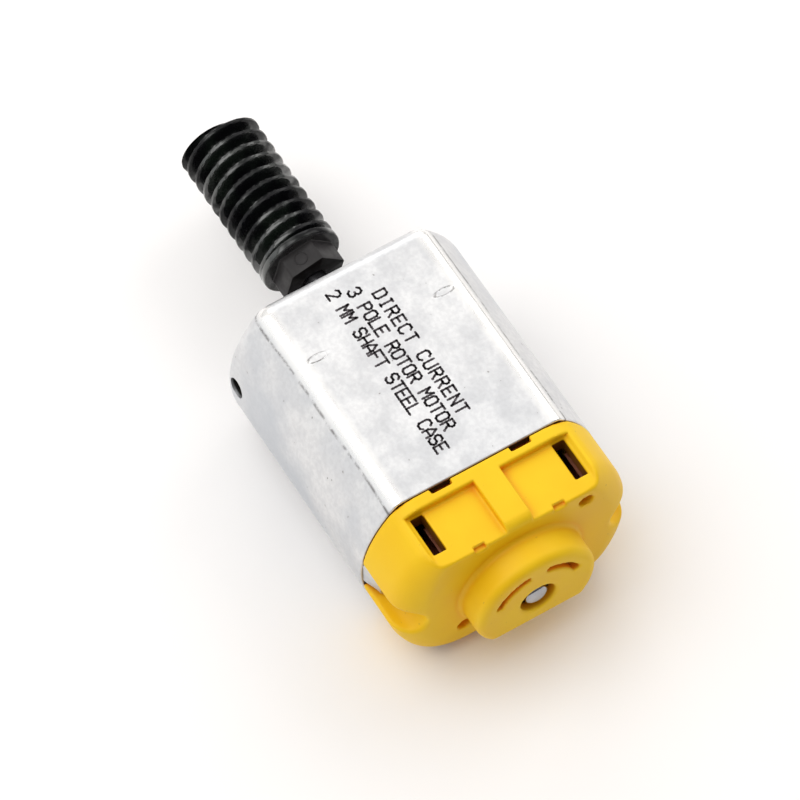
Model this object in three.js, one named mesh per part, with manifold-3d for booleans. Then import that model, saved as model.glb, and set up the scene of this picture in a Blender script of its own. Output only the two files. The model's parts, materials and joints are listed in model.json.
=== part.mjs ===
// Flat-sided brushed DC motor in a drawn steel can, with a moulded end cap and a plastic worm on its shaft.
// Millimetres. +X runs along the shaft towards the worm, +Z is square to the two flats of the can.
// The origin is the centre of the can's lower flat, which the motor lies on.
import * as THREE from 'three';
import { mergeVertices } from 'three/addons/utils/BufferGeometryUtils.js';
import Module from 'manifold-3d';

const wasm = await Module();
wasm.setup();

// ---- Driving dimensions ----

// The can: a round section with two flats, open at the seam (low X) and closed at the front (high X)
const CAN_RADIUS = 10.5;
const CAN_FLATS = 15.4;
const CAN_LENGTH = 20.8;
const CAN_WALL = 0.9;
const CAN_END_ROUND = 1.5;
const SIDE_HOLE = { radius: 0.9, fromFront: 2.1, rise: 0.8 };
const FIXING_HOLE = { radius: 0.9, apart: 12 };
const NOSE = { radius: 3.05, length: 1.7 };
const TAB = { width: 2.4, length: 1.7, thickness: 0.6, sink: 0.6 };
const MAGNET_STOP = { length: 0.7, width: 1.4, depth: 0.9, side: 5.3, fromSeam: [5.2, 14.2] };

// The shaft and what holds it
const SHAFT_RADIUS = 1;
const PRESS_GAP = 0.03;
const RUNNING_GAP = 0.05;
const BUSH_RADIUS = 2.1;
const BUSH_LENGTH = 2.6;
const SPACER_RADIUS = 1.9;
const END_FLOAT = 0.1;
const SHAFT_SIDES = 16;

// The end cap
const CAP_LENGTH = 6.1;
const CAP_GAP = 0.03;
const CAP_INSET = 0.05;
const CAP_EDGE_ROUND = 2.4;
const CAP_FLOOR = 1.5;
const SKIRT_LENGTH = 2.8;
const SKIRT_WALL = 0.9;
const SKIRT_GAP = 0.1;
const BOSS = { radius: 5.3, length: 2.7, flatBelow: 3.4, edge: 0.7, hole: 1.55 };
const ARC_SLOT = { inner: 3.4, outer: 4.05, depth: 0.8, spans: [[18, 80], [100, 160]] };
const POCKET = { rib: 1.15, outer: 7.9, band: 1.15, depth: 0.8 };
const TERMINAL_SLOT = { inner: 5.55, outer: 6.9, start: 1.5, end: 4.9 };
const SEAM_NOTCH = { inner: 2.6, outer: 4.4, depth: 0.55, sink: 1.5 };
const GROOVE = { radius: 1.5, inner: 8.2 };
const END_HOLES = [{ y: -5.8, z: 5.5, radius: 0.65 }, { y: 4.9, z: -3.7, radius: 0.65 }];
const END_HOLE_DEPTH = 1.1;
const CAVITY = { side: 7.2, height: 5.2 };

// The magnets
const MAGNET = { inner: 6.6, outer: 9.5, halfAngle: 43, start: -6.4, end: 7.1 };
const SPRING_WIRE = 0.3;

// The armature
const LAMINATION = { count: 18, pitch: 0.5, thickness: 0.48, start: -3.5 };
const CORE = { hub: 2.2, neck: 1.1, shoeInner: 5.3, outer: 6.2, shoeHalfAngle: 50, tip: 0.5 };
const INSULATOR = { thickness: 0.6, inset: 0.15 };
const COIL = { inner: 2.3, outer: 4.4, halfWidth: 2.5, build: 1.4, slack: 0.05 };
const POLES = 3;

// The commutator and the brushes
const COMMUTATOR = { start: -12.4, end: -4.2, hub: 1.75, inner: 1.8, outer: 2.35, gap: 8 };
const RISER = { start: -8.3, end: -7.8, outer: 3.4 };
const RING = { start: -9.2, end: -8.6, outer: 2.85 };
const BRUSH = { gap: 0.06, depth: 1.5, width: 1.6, start: -12, end: -9.9 };
const ARM = { thickness: 0.2, drop: 1.5, foot: 3.6, start: -13.5, end: -9.8 };
const TERMINAL = { strip: 0.28, bottom: 3, top: 5.4, length: 2.8 };

// The worm
const WORM = { start: 14, collar: 15.95, thread: 16.75, end: 29.1 };
const WORM_MODULE = 0.4;
const WORM_RADIUS = 3.45;
const THREAD = { depth: 0.95, shift: 0.54, crestHalf: 0.17, rootHalf: 0.5 };
const THREAD_SIDES = 20;
const HEX_FLATS = 4.85;
const HEX_TURN = 14.5;

// Corners of a mesh nearer than this are one corner
const MERGE_DISTANCE = 1e-3;

// ---- Places worked out from those ----
const AXIS_HEIGHT = CAN_FLATS / 2;
const SEAM = -CAN_LENGTH / 2;
const FRONT = CAN_LENGTH / 2;
const CAP_END = SEAM - CAP_LENGTH;
const BOSS_END = CAP_END - BOSS.length;
const CORE_END = LAMINATION.start + LAMINATION.count * LAMINATION.pitch;
const REAR_BUSH_START = BOSS_END + 1;
const FRONT_BUSH_END = FRONT + NOSE.length - 0.1;

// ---- Materials ----
const finish = (color, roughness, metalness) => new THREE.MeshStandardMaterial({ color, roughness, metalness });
const zincSteel = finish(0xc9ccd2, 0.35, 0.9);
const yellowPlastic = finish(0xf2c32e, 0.5, 0);
const blackPlastic = finish(0x141515, 0.25, 0);
const polishedSteel = finish(0xb9bcc0, 0.2, 1);
const sinteredBronze = finish(0x8a6a45, 0.6, 0.8);
const ferrite = finish(0x2d2c2e, 0.7, 0.1);
const springSteel = finish(0x8f9296, 0.35, 1);
const siliconSteel = finish(0x6d6f73, 0.5, 0.9);
const whiteNylon = finish(0xe9e5d8, 0.55, 0);
const enamelledWire = finish(0xa4522a, 0.35, 0.6);
const copper = finish(0xc47a4a, 0.3, 1);
const carbon = finish(0x2a2a2b, 0.8, 0.1);
const phosphorBronze = finish(0xb5824a, 0.35, 1);

// ---- Helpers ----

/** Merge a geometry's corners, so that only position is left, and give it as a solid. */
function solid(geometry) {
  const bare = geometry.clone();
  bare.deleteAttribute('normal');
  bare.deleteAttribute('uv');
  const merged = mergeVertices(bare, MERGE_DISTANCE);
  return new wasm.Manifold(new wasm.Mesh({
    numProp: 3,
    vertProperties: new Float32Array(merged.attributes.position.array),
    triVerts: new Uint32Array(merged.index.array),
  }));
}

/** Give a solid back as a geometry. */
function geometryOf(shape) {
  const mesh = shape.getMesh();
  const geometry = new THREE.BufferGeometry();
  geometry.setAttribute('position', new THREE.BufferAttribute(new Float32Array(mesh.vertProperties), 3));
  geometry.setIndex(new THREE.BufferAttribute(new Uint32Array(mesh.triVerts), 1));
  return geometry;
}

/** Turn a profile of [x, radius] points about the shaft; it ends on the axis or closes on itself. */
function turned(profile, sides) {
  const points = profile.map(([x, radius]) => new THREE.Vector2(radius, x));
  return new THREE.LatheGeometry(points, sides).rotateZ(-Math.PI / 2);
}

/** A round tube about the shaft, from x0 to x1. */
function tube(inner, outer, x0, x1, sides = SHAFT_SIDES) {
  return turned([[x0, inner], [x0, outer], [x1, outer], [x1, inner], [x0, inner]], sides);
}

/** A plain round bar about the shaft, from x0 to x1. */
function bar(radius, x0, x1, sides) {
  return turned([[x0, 0], [x0, radius], [x1, radius], [x1, 0]], sides);
}

/** Carry a section drawn in Y and Z along X, from x0 to x1. */
function alongX(shape, x0, x1, curveSegments = 6) {
  const toAxes = new THREE.Matrix4().makeBasis(
    new THREE.Vector3(0, 1, 0), new THREE.Vector3(0, 0, 1), new THREE.Vector3(1, 0, 0));
  const extruded = new THREE.ExtrudeGeometry(shape, { depth: x1 - x0, curveSegments, bevelEnabled: false });
  return extruded.applyMatrix4(toAxes).translate(x0, 0, 0);
}

/**
 * A body with the can's section: two arcs joined by two flats. The profile's [x, inset] points say how far
 * the section stands in from the full radius and half height at each x.
 */
function flattenedRound(radius, halfHeight, profile) {
  const perArc = 14;
  const positions = [];
  for (const [x, inset] of profile) {
    const r = radius - inset;
    const corner = Math.asin((halfHeight - inset) / r);
    for (const middle of [0, Math.PI]) {
      for (let i = 0; i <= perArc; i += 1) {
        const angle = middle + corner * ((2 * i) / perArc - 1);
        positions.push(x, r * Math.cos(angle), r * Math.sin(angle));
      }
    }
  }
  const ring = 2 * (perArc + 1);
  const indices = [];
  for (let layer = 0; layer + 1 < profile.length; layer += 1) {
    for (let i = 0; i < ring; i += 1) {
      const [a, b] = [layer * ring + i, layer * ring + ((i + 1) % ring)];
      indices.push(a, b, b + ring, a, b + ring, a + ring);
    }
  }
  const top = (profile.length - 1) * ring;
  for (let i = 1; i + 1 < ring; i += 1) {
    indices.push(0, i + 1, i, top, top + i, top + i + 1);
  }
  const geometry = new THREE.BufferGeometry();
  geometry.setAttribute('position', new THREE.Float32BufferAttribute(positions, 3));
  geometry.setIndex(indices);
  return geometry;
}

/** Profile points that round an edge: from the side at x0 to the end face at x1, over a quarter circle. */
function roundedEdge(x0, x1, radius) {
  const steps = 4;
  const toEnd = Math.sign(x1 - x0);
  return Array.from({ length: steps + 1 }, (_, i) => {
    const angle = (i / steps) * (Math.PI / 2);
    return [x1 - toEnd * radius * (1 - Math.sin(angle)), radius * (1 - Math.cos(angle))];
  });
}

/** A box given by its lowest and highest corners. */
function box(low, high) {
  const size = high.map((value, i) => value - low[i]);
  return new THREE.BoxGeometry(...size).translate(...low.map((value, i) => value + size[i] / 2));
}

/** A piece of a ring between two radii and two angles, counted from +Y towards +Z in degrees. */
function ringPiece(inner, outer, fromDegrees, toDegrees) {
  const from = THREE.MathUtils.degToRad(fromDegrees);
  const to = THREE.MathUtils.degToRad(toDegrees);
  const shape = new THREE.Shape();
  shape.absarc(0, 0, outer, from, to, false);
  shape.absarc(0, 0, inner, to, from, true);
  shape.closePath();
  return shape;
}

/** A closed outline through the given [y, z] points. */
function outline(points) {
  return new THREE.Shape(points.map(([y, z]) => new THREE.Vector2(y, z)));
}

const motor = new THREE.Group();
const frame = new THREE.Group();
frame.position.z = AXIS_HEIGHT;
motor.add(frame);

/** Name a piece, give it its material and put it in the motor. */
function add(name, geometry, material) {
  const mesh = new THREE.Mesh(geometry, material);
  mesh.name = name;
  frame.add(mesh);
  return mesh;
}

// ---- Can: deep drawn in one piece with the nose that carries the front bush ----
function makeCan() {
  const innerRadius = CAN_RADIUS - CAN_WALL;
  const innerFlat = CAN_FLATS / 2 - CAN_WALL;
  let can = solid(flattenedRound(CAN_RADIUS, CAN_FLATS / 2,
    [[SEAM, 0], ...roundedEdge(SEAM, FRONT, CAN_END_ROUND)]));
  can = can.subtract(solid(flattenedRound(innerRadius, innerFlat,
    [[SEAM - 1, 0], ...roundedEdge(SEAM, FRONT - CAN_WALL, CAN_END_ROUND - CAN_WALL)])));
  can = can.add(solid(bar(NOSE.radius, FRONT - CAN_WALL, FRONT + NOSE.length, 24)));
  can = can.subtract(solid(bar(BUSH_RADIUS + PRESS_GAP, FRONT - 3, FRONT + 3, SHAFT_SIDES)));
  for (const side of [-1, 1]) {
    const sideHole = new THREE.CylinderGeometry(SIDE_HOLE.radius, SIDE_HOLE.radius, 4, 16)
      .translate(FRONT - SIDE_HOLE.fromFront, side * CAN_RADIUS, SIDE_HOLE.rise);
    can = can.subtract(solid(sideHole));
    const fixingHole = new THREE.CylinderGeometry(FIXING_HOLE.radius, FIXING_HOLE.radius, 4, 16)
      .rotateZ(Math.PI / 2).translate(FRONT, side * FIXING_HOLE.apart / 2, 0);
    can = can.subtract(solid(fixingHole));
    can = can.add(solid(crimpTab(side)));
    for (const fromSeam of MAGNET_STOP.fromSeam) {
      const x = SEAM + fromSeam;
      const y = side * MAGNET_STOP.side;
      can = can.add(solid(box(
        [x - MAGNET_STOP.length / 2, y - MAGNET_STOP.width / 2, innerFlat - MAGNET_STOP.depth],
        [x + MAGNET_STOP.length / 2, y + MAGNET_STOP.width / 2, innerFlat + 0.3])));
    }
  }
  return geometryOf(can);
}

/** A tab of the can's rim, bent in over the end cap to hold it. */
function crimpTab(side) {
  const root = CAN_RADIUS - 0.15;
  const shape = outline([
    [SEAM + 0.5, root], [SEAM - 0.2, root], [SEAM - TAB.length, root - TAB.sink],
    [SEAM - TAB.length, root - TAB.sink - TAB.thickness], [SEAM + 0.5, root - TAB.thickness]]);
  const tab = new THREE.ExtrudeGeometry(shape, { depth: TAB.width, bevelEnabled: false });
  return tab.translate(0, 0, -TAB.width / 2).rotateX(side > 0 ? 0 : Math.PI);
}
add('motor_can', makeCan(), zincSteel);

// ---- End cap: moulded in one piece, with a skirt that plugs the can and a boss that holds the rear bush ----
function makeEndCap() {
  const half = CAN_FLATS / 2;
  const shoulder = SEAM - CAP_GAP;
  let cap = solid(flattenedRound(CAN_RADIUS - CAP_INSET, half - CAP_INSET,
    [...roundedEdge(shoulder, CAP_END, CAP_EDGE_ROUND).reverse(), [shoulder, 0]]));
  const skirtRadius = CAN_RADIUS - CAN_WALL - SKIRT_GAP;
  const skirtHalf = half - CAN_WALL - SKIRT_GAP;
  cap = cap.add(solid(flattenedRound(skirtRadius, skirtHalf, [[SEAM - 1, 0], [SEAM + SKIRT_LENGTH, 0]])));
  cap = cap.add(solid(makeBoss()));
  cap = cap.subtract(solid(flattenedRound(skirtRadius, skirtHalf,
    [[SEAM, SKIRT_WALL], [SEAM + SKIRT_LENGTH + 1, SKIRT_WALL]])));
  cap = cap.subtract(solid(box([CAP_END + CAP_FLOOR, -CAVITY.side, -CAVITY.height],
    [SEAM + 1, CAVITY.side, CAVITY.height])));
  cap = cap.subtract(solid(bar(BUSH_RADIUS + PRESS_GAP, REAR_BUSH_START, SEAM, SHAFT_SIDES)));
  cap = cap.subtract(solid(bar(BOSS.hole, BOSS_END - 1, SEAM, 20)));
  for (const [from, to] of ARC_SLOT.spans) {
    cap = cap.subtract(solid(alongX(ringPiece(ARC_SLOT.inner, ARC_SLOT.outer, from, to),
      BOSS_END - 1, BOSS_END + ARC_SLOT.depth, 3)));
  }
  for (const hole of END_HOLES) {
    const drill = bar(hole.radius, CAP_END - 1, CAP_END + END_HOLE_DEPTH, 14).translate(0, hole.y, hole.z);
    cap = cap.subtract(solid(drill));
  }
  for (const side of [-1, 1]) {
    cap = cap.subtract(solid(sideBox(side, [CAP_END - 1, POCKET.rib, half - POCKET.depth],
      [SEAM - POCKET.band, POCKET.outer, half + 1])));
    cap = cap.subtract(solid(sideBox(side, [SEAM - TERMINAL_SLOT.end, TERMINAL_SLOT.inner, CAVITY.height - 1],
      [SEAM - TERMINAL_SLOT.start, TERMINAL_SLOT.outer, half])));
    cap = cap.subtract(solid(sideBox(side, [SEAM - SEAM_NOTCH.depth, SEAM_NOTCH.inner, half - SEAM_NOTCH.sink],
      [shoulder + 0.01, SEAM_NOTCH.outer, half + 1])));
    const groove = bar(GROOVE.radius, CAP_END - 1, shoulder + 0.01, 20);
    cap = cap.subtract(solid(groove.translate(0, side * (GROOVE.inner + GROOVE.radius), 0)));
    cap = cap.subtract(solid(sideBox(side, [CAP_END - 1, GROOVE.inner + GROOVE.radius, -GROOVE.radius],
      [shoulder + 0.01, CAN_RADIUS + 1, GROOVE.radius])));
  }
  return geometryOf(cap);
}

/** A box on one side of the motor: the corners' Y is counted outwards from the middle. */
function sideBox(side, [x0, y0, z0], [x1, y1, z1]) {
  const ends = [side * y0, side * y1].sort((a, b) => a - b);
  return box([x0, ends[0], z0], [x1, ends[1], z1]);
}

/** The boss on the cap's end face, cut flat below. */
function makeBoss() {
  const round = BOSS.edge;
  const body = solid(turned([[BOSS_END, 0], [BOSS_END, BOSS.radius - round],
    [BOSS_END + 0.3 * round, BOSS.radius - 0.3 * round], [BOSS_END + round, BOSS.radius],
    [CAP_END + 1, BOSS.radius], [CAP_END + 1, 0]], 32));
  return geometryOf(body.subtract(solid(box([BOSS_END - 1, -10, -10], [CAP_END + 2, 10, -BOSS.flatBelow]))));
}
add('end_cap', makeEndCap(), yellowPlastic);

// ---- Bushes: sintered bronze sleeves, pressed into the can's nose and the cap's boss ----
const bushBore = SHAFT_RADIUS + RUNNING_GAP;
const makeBush = (start) => tube(bushBore, BUSH_RADIUS, start, start + BUSH_LENGTH);
add('front_bush', makeBush(FRONT_BUSH_END - BUSH_LENGTH), sinteredBronze);
add('rear_bush', makeBush(REAR_BUSH_START + 0.02), sinteredBronze);

// ---- Magnets: two ferrite arcs, pushed apart against the can by one wire spring ----
const { halfAngle } = MAGNET;
add('magnet_left', alongX(ringPiece(MAGNET.inner, MAGNET.outer, -halfAngle, halfAngle),
  MAGNET.start, MAGNET.end), ferrite);
add('magnet_right', alongX(ringPiece(MAGNET.inner, MAGNET.outer, 180 - halfAngle, 180 + halfAngle),
  MAGNET.start, MAGNET.end), ferrite);

/** The magnet spring: a U of wire, its legs against the magnets' edges and its bridge past their front ends. */
function makeMagnetSpring() {
  const legSide = 6.2;
  const height = -6.4;
  const corner = 1;
  const bridge = MAGNET.end + 0.9;
  const path = new THREE.CurvePath();
  const at = (x, y) => new THREE.Vector3(x, y, height);
  path.add(new THREE.LineCurve3(at(MAGNET.start + 1, -legSide), at(bridge - corner, -legSide)));
  path.add(new THREE.QuadraticBezierCurve3(at(bridge - corner, -legSide), at(bridge, -legSide),
    at(bridge, -legSide + corner)));
  path.add(new THREE.LineCurve3(at(bridge, -legSide + corner), at(bridge, legSide - corner)));
  path.add(new THREE.QuadraticBezierCurve3(at(bridge, legSide - corner), at(bridge, legSide),
    at(bridge - corner, legSide)));
  path.add(new THREE.LineCurve3(at(bridge - corner, legSide), at(MAGNET.start + 1, legSide)));
  const section = new THREE.Shape();
  section.absarc(0, 0, SPRING_WIRE, 0, 2 * Math.PI, false);
  return new THREE.ExtrudeGeometry(section, { steps: 28, curveSegments: 3, extrudePath: path });
}
add('magnet_spring', makeMagnetSpring(), springSteel);

// ---- Shaft: ground steel with rounded ends ----
const shaftStart = BOSS_END + 0.05;
const shaftEnd = WORM.end - 0.4;
add('shaft', turned([
  [shaftStart, 0], [shaftStart + 0.1, 0.55], [shaftStart + 0.4, SHAFT_RADIUS],
  [shaftEnd - 0.2, SHAFT_RADIUS], [shaftEnd, SHAFT_RADIUS - 0.2], [shaftEnd, 0]], SHAFT_SIDES), polishedSteel);

// ---- Armature core: stamped laminations, each with three necks and three curved shoes ----
function poleOutline(inset, boreRadius) {
  const { hub, neck, shoeInner, outer, shoeHalfAngle, tip } = CORE;
  const shoe = THREE.MathUtils.degToRad(shoeHalfAngle) - inset / outer;
  const rim = outer - inset;
  const underside = shoeInner + inset;
  const neckHalf = neck - inset / 2;
  const shape = new THREE.Shape();
  for (let pole = 0; pole < POLES; pole += 1) {
    const turn = Math.PI / 2 + (pole * 2 * Math.PI) / POLES;
    const place = (along, across) => new THREE.Vector2(
      along * Math.cos(turn) - across * Math.sin(turn), along * Math.sin(turn) + across * Math.cos(turn));
    const onRound = (radius, angle) => place(radius * Math.cos(angle), radius * Math.sin(angle));
    const points = [
      place(Math.sqrt((hub - inset) ** 2 - neckHalf ** 2), -neckHalf),
      place(Math.sqrt(underside ** 2 - neckHalf ** 2), -neckHalf),
      onRound(rim - tip, -shoe), onRound(rim, -shoe), onRound(rim, -shoe / 2), onRound(rim, 0),
      onRound(rim, shoe / 2), onRound(rim, shoe), onRound(rim - tip, shoe),
      place(Math.sqrt(underside ** 2 - neckHalf ** 2), neckHalf),
      place(Math.sqrt((hub - inset) ** 2 - neckHalf ** 2), neckHalf)];
    points.forEach((point, i) => {
      if (pole === 0 && i === 0) shape.moveTo(point.x, point.y);
      else shape.lineTo(point.x, point.y);
    });
  }
  shape.closePath();
  const bore = new THREE.Path();
  for (let side = 0; side < SHAFT_SIDES; side += 1) {
    const angle = (-2 * Math.PI * side) / SHAFT_SIDES;
    const [y, z] = [boreRadius * Math.cos(angle), boreRadius * Math.sin(angle)];
    if (side === 0) bore.moveTo(y, z);
    else bore.lineTo(y, z);
  }
  bore.closePath();
  shape.holes.push(bore);
  return shape;
}
const pressBore = SHAFT_RADIUS + PRESS_GAP;
for (let i = 0; i < LAMINATION.count; i += 1) {
  const x = LAMINATION.start + i * LAMINATION.pitch;
  add(`lamination_${String(i + 1).padStart(2, '0')}`,
    alongX(poleOutline(0, pressBore), x, x + LAMINATION.thickness), siliconSteel);
}

// ---- Insulators: one moulded spider on each end of the core, under the windings ----
const insulatorShape = poleOutline(INSULATOR.inset, pressBore);
const frontInsulator = [CORE_END + PRESS_GAP, CORE_END + PRESS_GAP + INSULATOR.thickness];
const rearInsulator = [LAMINATION.start - PRESS_GAP - INSULATOR.thickness, LAMINATION.start - PRESS_GAP];
add('insulator_front', alongX(insulatorShape, ...frontInsulator), whiteNylon);
add('insulator_rear', alongX(insulatorShape, ...rearInsulator), whiteNylon);

// ---- Windings: one coil of enamelled wire round each neck ----
function makeCoil(pole) {
  const innerStart = rearInsulator[0] - COIL.slack;
  const innerEnd = frontInsulator[1] + COIL.slack;
  const neckHalf = CORE.neck + COIL.slack;
  const roundedRectangle = (x0, x1, half, corner, path) => {
    path.moveTo(x0 + corner, -half);
    path.lineTo(x1 - corner, -half);
    path.quadraticCurveTo(x1, -half, x1, -half + corner);
    path.lineTo(x1, half - corner);
    path.quadraticCurveTo(x1, half, x1 - corner, half);
    path.lineTo(x0 + corner, half);
    path.quadraticCurveTo(x0, half, x0, half - corner);
    path.lineTo(x0, -half + corner);
    path.quadraticCurveTo(x0, -half, x0 + corner, -half);
    return path;
  };
  const shape = roundedRectangle(innerStart - COIL.build, innerEnd + COIL.build, COIL.halfWidth, 1,
    new THREE.Shape());
  shape.holes.push(new THREE.Path([[innerStart, -neckHalf], [innerStart, neckHalf], [innerEnd, neckHalf],
    [innerEnd, -neckHalf]].map(([x, y]) => new THREE.Vector2(x, y))));
  const coil = new THREE.ExtrudeGeometry(shape, {
    depth: COIL.outer - COIL.inner, bevelEnabled: false, curveSegments: 3 });
  return coil.translate(0, 0, COIL.inner).rotateX((pole * 2 * Math.PI) / POLES);
}
for (let pole = 0; pole < POLES; pole += 1) add(`coil_${pole + 1}`, makeCoil(pole), enamelledWire);

// ---- Commutator: a moulded sleeve with three copper segments and a retaining ring ----
add('commutator_sleeve', tube(pressBore, COMMUTATOR.hub, COMMUTATOR.start, COMMUTATOR.end), blackPlastic);

/** One copper segment, with the riser that its coil ends are soldered to. */
function makeSegment(index) {
  const half = 180 / POLES - COMMUTATOR.gap / 2;
  const middle = 90 + (index * 360) / POLES + 180 / POLES;
  const strip = solid(alongX(ringPiece(COMMUTATOR.inner, COMMUTATOR.outer, middle - half, middle + half),
    COMMUTATOR.start + 0.2, RISER.end, 4));
  const riser = solid(alongX(ringPiece(COMMUTATOR.inner + 0.1, RISER.outer, middle - 18, middle + 18),
    RISER.start, RISER.end, 2));
  return geometryOf(strip.add(riser));
}
for (let index = 0; index < POLES; index += 1) {
  add(`commutator_segment_${index + 1}`, makeSegment(index), copper);
}
add('commutator_ring', tube(COMMUTATOR.outer + 0.03, RING.outer, RING.start, RING.end, 24), whiteNylon);

// ---- Spacers: sleeves that set the armature's end float between the bushes ----
const frontSpacerStart = frontInsulator[1] + PRESS_GAP;
const frontSpacerEnd = FRONT_BUSH_END - BUSH_LENGTH - END_FLOAT;
add('front_spacer', tube(pressBore, SPACER_RADIUS, frontSpacerStart, frontSpacerEnd), whiteNylon);
add('rear_spacer', tube(pressBore, SPACER_RADIUS, REAR_BUSH_START + BUSH_LENGTH + END_FLOAT,
  COMMUTATOR.start - 0.05), whiteNylon);

// ---- Brush gear: carbon brushes on bronze arms, and folded terminals in the cap's slots ----
const brushFace = COMMUTATOR.outer + BRUSH.gap;
const armInner = brushFace + BRUSH.depth + 0.03;
const armOuter = armInner + ARM.thickness;
const terminalInner = TERMINAL_SLOT.inner + 0.05;
const terminalOuter = TERMINAL_SLOT.outer - 0.05;

/** A brush arm: down beside the commutator, with its foot turned out to the terminal. */
function makeArm(side) {
  const foot = terminalInner - 0.03;
  const shape = outline([
    [armInner, -ARM.drop], [armOuter, -ARM.drop], [armOuter, ARM.foot], [foot, ARM.foot],
    [foot, ARM.foot + ARM.thickness], [armInner, ARM.foot + ARM.thickness]]
    .map(([y, z]) => [side * y, z]));
  return alongX(shape, ARM.start, ARM.end);
}

/** A terminal: a strip folded to a U, open upwards for a flat blade. */
function makeTerminal(side) {
  const { strip, bottom, top, length } = TERMINAL;
  const shape = outline([
    [terminalInner, bottom], [terminalOuter, bottom], [terminalOuter, top], [terminalOuter - strip, top],
    [terminalOuter - strip, bottom + strip], [terminalInner + strip, bottom + strip],
    [terminalInner + strip, top], [terminalInner, top]].map(([y, z]) => [side * y, z]));
  const start = CAP_END + CAP_FLOOR + 0.1;
  return alongX(shape, start, start + length);
}
for (const [name, side] of [['left', 1], ['right', -1]]) {
  add(`brush_${name}`, sideBox(side, [BRUSH.start, brushFace, -BRUSH.width / 2],
    [BRUSH.end, brushFace + BRUSH.depth, BRUSH.width / 2]), carbon);
  add(`brush_arm_${name}`, makeArm(side), phosphorBronze);
  add(`terminal_${name}`, makeTerminal(side), phosphorBronze);
}

// ---- Worm: black plastic pressed on the shaft, with a hexagon neck, a collar and one right-handed thread ----

/**
 * A screw thread along X, a little longer than x0 to x1 at both ends. A tooth with four corners is carried
 * along the helix, each turn's last corner is joined to the next turn's first one across the root, and a fan
 * of triangles to a point on the axis closes each end.
 */
function threadBody(x0, x1) {
  const pitch = Math.PI * WORM_MODULE;
  const root = WORM_RADIUS - THREAD.depth;
  const corners = [[-THREAD.rootHalf, root], [-THREAD.crestHalf, WORM_RADIUS],
    [THREAD.crestHalf, WORM_RADIUS], [THREAD.rootHalf, root]];
  const turns = Math.ceil((x1 - x0) / pitch) + 3;
  const steps = turns * THREAD_SIDES;
  const start = x0 - 1.5 * pitch + THREAD.shift;
  const positions = [];
  for (let step = 0; step <= steps; step += 1) {
    const angle = (2 * Math.PI * step) / THREAD_SIDES;
    for (const [offset, radius] of corners) {
      const x = start + (pitch * step) / THREAD_SIDES + offset;
      positions.push(x, radius * Math.cos(angle), radius * Math.sin(angle));
    }
  }
  const at = (step, corner) => step * corners.length + corner;
  const startApex = positions.length / 3;
  const endApex = startApex + 1;
  positions.push(start, 0, 0, start + pitch * turns, 0, 0);
  const indices = [];
  const quad = (a, b, c, d) => indices.push(a, b, c, a, c, d);
  for (let step = 0; step < steps; step += 1) {
    for (let c = 0; c < 3; c += 1) quad(at(step, c), at(step + 1, c), at(step + 1, c + 1), at(step, c + 1));
    if (step + THREAD_SIDES < steps) {
      quad(at(step, 3), at(step + 1, 3), at(step + THREAD_SIDES + 1, 0), at(step + THREAD_SIDES, 0));
    }
  }
  const last = steps - THREAD_SIDES;
  for (let side = 0; side < THREAD_SIDES; side += 1) {
    indices.push(at(side + 1, 0), at(side, 0), startApex);
    indices.push(at(last + side, 3), at(last + side + 1, 3), endApex);
  }
  for (let c = 0; c < 3; c += 1) {
    indices.push(at(0, c), at(0, c + 1), startApex);
    indices.push(at(steps, c + 1), at(steps, c), endApex);
  }
  indices.push(at(0, 3), at(THREAD_SIDES, 0), startApex);
  indices.push(at(steps, 0), at(last, 3), endApex);
  const geometry = new THREE.BufferGeometry();
  geometry.setAttribute('position', new THREE.Float32BufferAttribute(positions, 3));
  geometry.setIndex(indices);
  return geometry;
}

function makeWorm() {
  const corner = HEX_FLATS / Math.sqrt(3);
  const turn = (i) => (i * Math.PI) / 3 - (HEX_TURN * Math.PI) / 180;
  const hexagon = outline([0, 1, 2, 3, 4, 5].map((i) => (
    [corner * Math.cos(turn(i)), corner * Math.sin(turn(i))])));
  const thread = solid(threadBody(WORM.thread, WORM.end));
  let worm = thread.intersect(solid(bar(WORM_RADIUS + 1, WORM.thread, WORM.end, 8)));
  worm = worm.add(solid(bar(WORM_RADIUS, WORM.collar, WORM.thread + 0.1, 24)));
  worm = worm.add(solid(alongX(hexagon, WORM.start, WORM.collar + 0.1)));
  return geometryOf(worm.subtract(solid(bar(pressBore, WORM.start - 1, WORM.end + 1, SHAFT_SIDES))));
}
add('worm', makeWorm(), blackPlastic);

export default motor;
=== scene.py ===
import json
import math
import bpy
import numpy as np
from mathutils import Matrix, Vector


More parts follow.
